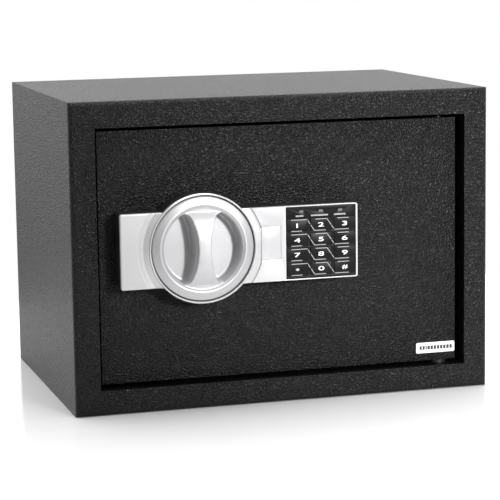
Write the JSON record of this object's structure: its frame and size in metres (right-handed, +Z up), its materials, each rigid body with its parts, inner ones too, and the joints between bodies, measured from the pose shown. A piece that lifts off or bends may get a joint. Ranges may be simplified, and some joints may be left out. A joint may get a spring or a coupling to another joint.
{
  "type": "in room safe",
  "caption": "Rectangular steel safe with a recessed keypad door hinged at the right, a round turn knob that throws two side bolts, and a pull-off key cover.",
  "frame": {"origin": "centre of the cabinet's underside", "axes": "+Z up, -Y out of the door's face, +X towards the hinge"},
  "size_m": [0.35, 0.272, 0.25],
  "materials": {
    "black_powder": "fine pebbled black powder coat",
    "bright_steel": "bright zinc or nickel plate",
    "zinc_steel": "zinc-plated pressed steel",
    "black_oxide": "black oxide on steel",
    "nylon": "black nylon",
    "felt": "dark needle felt",
    "black_plastic": "moulded black plastic",
    "silver_plastic": "plastic in metallic silver paint",
    "silver_lip": "plastic in bright silver plate",
    "knob_silver": "plastic in satin silver paint",
    "keypad_black": "satin black with pale print",
    "rubber_grey": "silicone rubber",
    "circuit_green": "green circuit board",
    "lens_dark": "dark tinted window",
    "ribbon_grey": "flat cable",
    "label_white": "printed paper label",
    "brass": "machined brass",
    "coil_copper": "enamelled copper winding",
    "cell_wrap": "wrapped alkaline cell",
    "button_red": "red plastic"
  },
  "bodies": {
    "cabinet": {"body_shell": "black_powder", "back_panel": "black_powder", "door_frame": "black_powder", "strike_bar": "black_powder", "hinge_pins": "black_oxide", "hinge_washers": "nylon", "floor_mat": "felt"},
    "door": {"door_panel": "black_powder", "hinge_lugs": "black_powder", "fascia_base": "black_plastic", "fascia_cover": "silver_plastic", "knob_collar": "silver_lip", "keypad_plate": "keypad_black", "key_mat": "rubber_grey", "keypad_board": "circuit_green", "indicator_lenses": "lens_dark", "keypad_ribbon": "ribbon_grey", "fascia_screws": "bright_steel", "serial_label": "label_white", "lock_cylinder": "zinc_steel", "lock_nut": "bright_steel", "shaft_bushing": "brass", "bolt_bracket": "zinc_steel", "carriage_studs": "bright_steel", "solenoid_frame": "zinc_steel", "solenoid_coil": "coil_copper", "plunger_spring": "bright_steel", "control_board": "circuit_green", "battery_holder": "black_plastic", "battery_contacts": "bright_steel", "batteries": "cell_wrap", "reset_switch": "black_plastic", "inner_cover": "black_powder", "cover_screws": "bright_steel"},
    "knob": {"knob": "knob_silver", "knob_shaft": "bright_steel", "shaft_clip": "bright_steel", "crank_disc": "zinc_steel", "crank_pin": "bright_steel"},
    "carriage": {"bolt_carriage": "zinc_steel", "live_bolts": "bright_steel", "bolt_nuts": "bright_steel"},
    "plunger": {"solenoid_plunger": "bright_steel"},
    "key_cover": {"key_cover": "silver_plastic"},
    "lock_plug": {"lock_plug": "brass", "lock_cam": "zinc_steel"},
    "battery_lid": {"battery_lid": "black_plastic"},
    "reset_button": {"reset_button": "button_red"},
    "key_1": {"key_1": "keypad_black"},
    "key_2": {"key_2": "keypad_black"},
    "key_3": {"key_3": "keypad_black"},
    "key_4": {"key_4": "keypad_black"},
    "key_5": {"key_5": "keypad_black"},
    "key_6": {"key_6": "keypad_black"},
    "key_7": {"key_7": "keypad_black"},
    "key_8": {"key_8": "keypad_black"},
    "key_9": {"key_9": "keypad_black"},
    "key_star": {"key_star": "keypad_black"},
    "key_0": {"key_0": "keypad_black"},
    "key_hash": {"key_hash": "keypad_black"}
  },
  "joints": [
    {"name": "door_hinge", "type": "hinge", "parent": "cabinet", "child": "door", "pos_m": [0.137, -0.108, 0], "axis": [0, 0, 1], "range_deg": [0, 105]},
    {"name": "knob_turn", "type": "hinge", "parent": "door", "child": "knob", "pos_m": [-0.0728, -0.141, 0.1324], "axis": [0, -1, 0], "range_deg": [0, 90]},
    {"name": "carriage_slide", "type": "slide", "parent": "door", "child": "carriage", "axis": [-1, 0, 0], "range_m": [0, 0.016]},
    {"name": "plunger_slide", "type": "slide", "parent": "door", "child": "plunger", "axis": [0, 0, 1], "range_m": [0, 0.005], "deforming": ["plunger_spring"]},
    {"name": "key_cover_pull", "type": "slide", "parent": "door", "child": "key_cover", "axis": [0, -1, 0], "range_m": [0, 0.03]},
    {"name": "lock_turn", "type": "hinge", "parent": "door", "child": "lock_plug", "pos_m": [-0.0166, -0.134, 0.1335], "axis": [0, -1, 0], "range_deg": [0, 90]},
    {"name": "battery_lid_pull", "type": "slide", "parent": "door", "child": "battery_lid", "axis": [0, 1, 0], "range_m": [0, 0.02]},
    {"name": "reset_press", "type": "slide", "parent": "door", "child": "reset_button", "axis": [0, -1, 0], "range_m": [0, 0.0015], "stiffness_N_per_m": 300, "springref_m": -0.0005},
    {"name": "key_1_press", "type": "slide", "parent": "door", "child": "key_1", "axis": [0, 1, 0], "range_m": [0, 0.0006], "stiffness_N_per_m": 800, "springref_m": -0.0004},
    {"name": "key_2_press", "type": "slide", "parent": "door", "child": "key_2", "axis": [0, 1, 0], "range_m": [0, 0.0006], "stiffness_N_per_m": 800, "springref_m": -0.0004},
    {"name": "key_3_press", "type": "slide", "parent": "door", "child": "key_3", "axis": [0, 1, 0], "range_m": [0, 0.0006], "stiffness_N_per_m": 800, "springref_m": -0.0004},
    {"name": "key_4_press", "type": "slide", "parent": "door", "child": "key_4", "axis": [0, 1, 0], "range_m": [0, 0.0006], "stiffness_N_per_m": 800, "springref_m": -0.0004},
    {"name": "key_5_press", "type": "slide", "parent": "door", "child": "key_5", "axis": [0, 1, 0], "range_m": [0, 0.0006], "stiffness_N_per_m": 800, "springref_m": -0.0004},
    {"name": "key_6_press", "type": "slide", "parent": "door", "child": "key_6", "axis": [0, 1, 0], "range_m": [0, 0.0006], "stiffness_N_per_m": 800, "springref_m": -0.0004},
    {"name": "key_7_press", "type": "slide", "parent": "door", "child": "key_7", "axis": [0, 1, 0], "range_m": [0, 0.0006], "stiffness_N_per_m": 800, "springref_m": -0.0004},
    {"name": "key_8_press", "type": "slide", "parent": "door", "child": "key_8", "axis": [0, 1, 0], "range_m": [0, 0.0006], "stiffness_N_per_m": 800, "springref_m": -0.0004},
    {"name": "key_9_press", "type": "slide", "parent": "door", "child": "key_9", "axis": [0, 1, 0], "range_m": [0, 0.0006], "stiffness_N_per_m": 800, "springref_m": -0.0004},
    {"name": "key_star_press", "type": "slide", "parent": "door", "child": "key_star", "axis": [0, 1, 0], "range_m": [0, 0.0006], "stiffness_N_per_m": 800, "springref_m": -0.0004},
    {"name": "key_0_press", "type": "slide", "parent": "door", "child": "key_0", "axis": [0, 1, 0], "range_m": [0, 0.0006], "stiffness_N_per_m": 800, "springref_m": -0.0004},
    {"name": "key_hash_press", "type": "slide", "parent": "door", "child": "key_hash", "axis": [0, 1, 0], "range_m": [0, 0.0006], "stiffness_N_per_m": 800, "springref_m": -0.0004}
  ],
  "couplings": [
    {"joint": "carriage_slide", "follows": "knob_turn", "m_per_rad": 0.010185}
  ]
}
